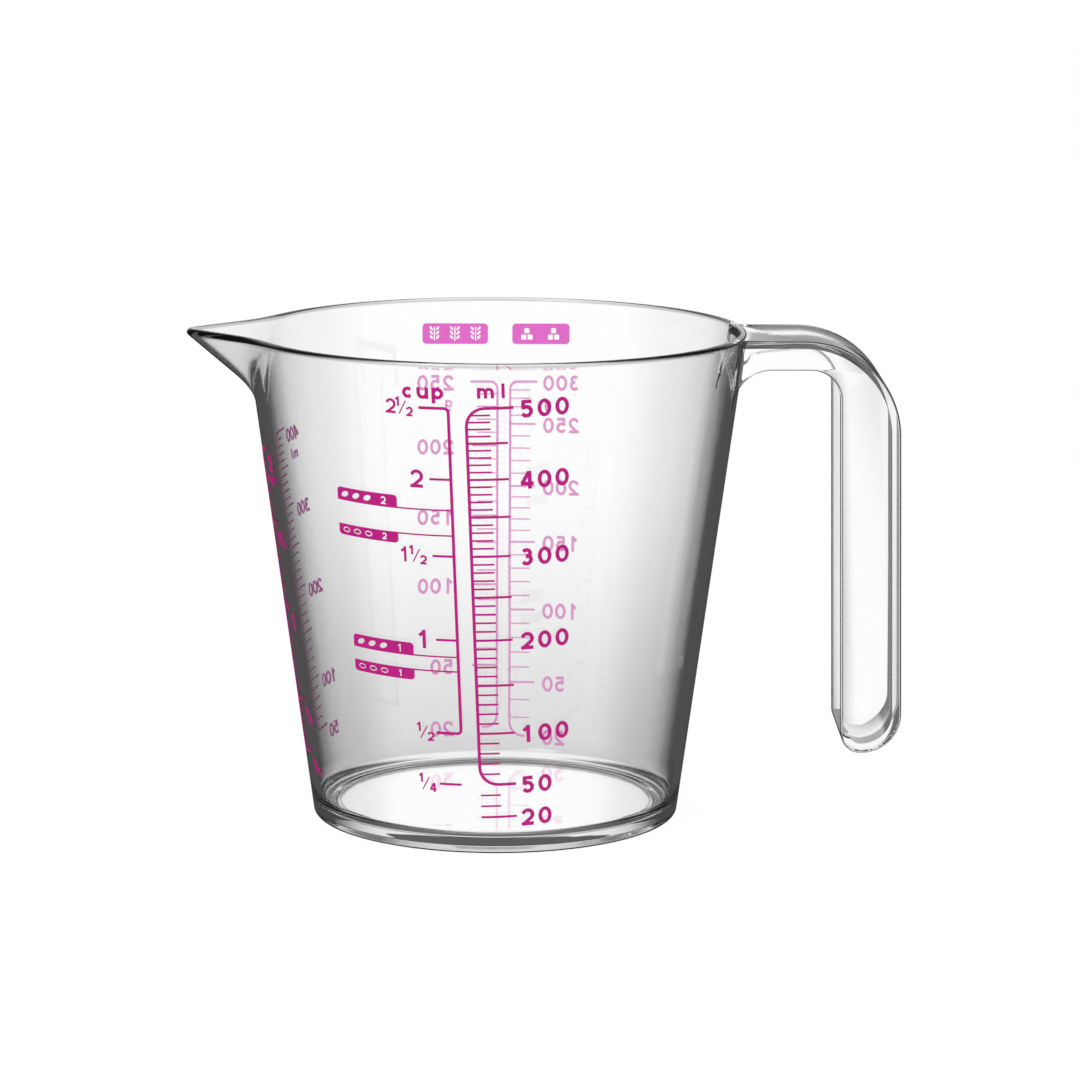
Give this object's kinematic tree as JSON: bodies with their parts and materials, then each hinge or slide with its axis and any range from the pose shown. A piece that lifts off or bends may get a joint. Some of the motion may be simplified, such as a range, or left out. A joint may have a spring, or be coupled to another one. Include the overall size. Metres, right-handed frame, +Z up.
{
  "type": "measuring cup",
  "caption": "Clear conical plastic mixing and measuring cup with a V spout, an open channel handle and printed volume and weight scales.",
  "frame": {"origin": "centre of the foot ring, on the cup's axis, at the level of the table", "axes": "+Z up along the cup's axis, the spout points to -X, the handle to +X, the main scales face -Y"},
  "size_m": [0.1458, 0.1018, 0.1005],
  "materials": {
    "clear_plastic": "clear, glossy, moulded",
    "ink": "thin screen-printed film, satin"
  },
  "bodies": {
    "root": {"cup_wall": "clear_plastic", "cup_base": "clear_plastic", "pour_spout": "clear_plastic", "handle": "clear_plastic", "ml_scale": "ink", "ml_figures": "ink", "cup_scale": "ink", "cup_figures": "ink", "front_legends": "ink", "grain_tag_a": "ink", "grain_tag_b": "ink", "grain_tag_c": "ink", "grain_tag_d": "ink", "flour_scale": "ink", "flour_figures": "ink", "flour_tag": "ink", "sugar_scale": "ink", "sugar_figures": "ink", "sugar_tag": "ink", "side_ml_scale": "ink", "side_ml_figures": "ink", "side_cup_scale": "ink", "side_cup_figures": "ink"}
  },
  "joints": []
}
